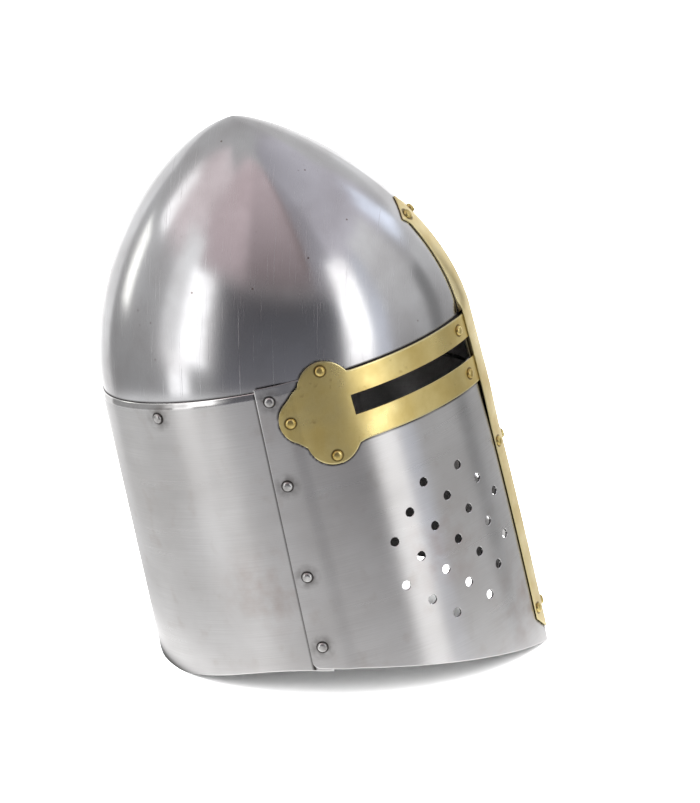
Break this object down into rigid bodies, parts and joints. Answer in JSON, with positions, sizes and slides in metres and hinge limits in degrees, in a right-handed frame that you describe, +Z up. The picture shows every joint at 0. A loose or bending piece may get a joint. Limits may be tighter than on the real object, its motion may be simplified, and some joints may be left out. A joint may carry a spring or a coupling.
{
  "type": "great helm",
  "caption": "Great helm: a pointed steel skull riveted into a back plate and a keeled face plate with breaths and two sights, trimmed with a brass sight band and a brass face strip.",
  "frame": {"origin": "On the ground under the middle of the helm's footprint box, midway between its sides and midway between its foremost and rearmost points.", "axes": "+Z is up, -Y is the way the face looks and -X is the wearer's right. The helm stands leaning back 11.4 degrees on the foot of its back plate and the tip of its keel."},
  "size_m": [0.2576, 0.3324, 0.4121],
  "materials": {
    "polished_steel": "polished",
    "brushed_steel": "satin",
    "brass": "polished"
  },
  "bodies": {
    "root": {"back_plate": "brushed_steel", "band_rivet_lower_left": "brass", "band_rivet_lower_right": "brass", "band_rivet_upper_left": "brass", "band_rivet_upper_right": "brass", "face_plate": "brushed_steel", "face_strip": "brass", "lobe_rivet_low_left": "brass", "lobe_rivet_low_right": "brass", "lobe_rivet_rear_left": "brass", "lobe_rivet_rear_right": "brass", "lobe_rivet_top_left": "brass", "lobe_rivet_top_right": "brass", "ring_rivet_1_left": "brushed_steel", "ring_rivet_1_right": "brushed_steel", "ring_rivet_2_back": "brushed_steel", "seam_rivet_1_left": "brushed_steel", "seam_rivet_1_right": "brushed_steel", "seam_rivet_2_left": "brushed_steel", "seam_rivet_2_right": "brushed_steel", "seam_rivet_3_left": "brushed_steel", "seam_rivet_3_right": "brushed_steel", "seam_rivet_4_left": "brushed_steel", "seam_rivet_4_right": "brushed_steel", "sight_band_left": "brass", "sight_band_right": "brass", "skull": "polished_steel", "strip_rivet_1_left": "brass", "strip_rivet_1_right": "brass", "strip_rivet_2_left": "brass", "strip_rivet_2_right": "brass", "strip_rivet_3_left": "brass", "strip_rivet_3_right": "brass"}
  },
  "joints": []
}
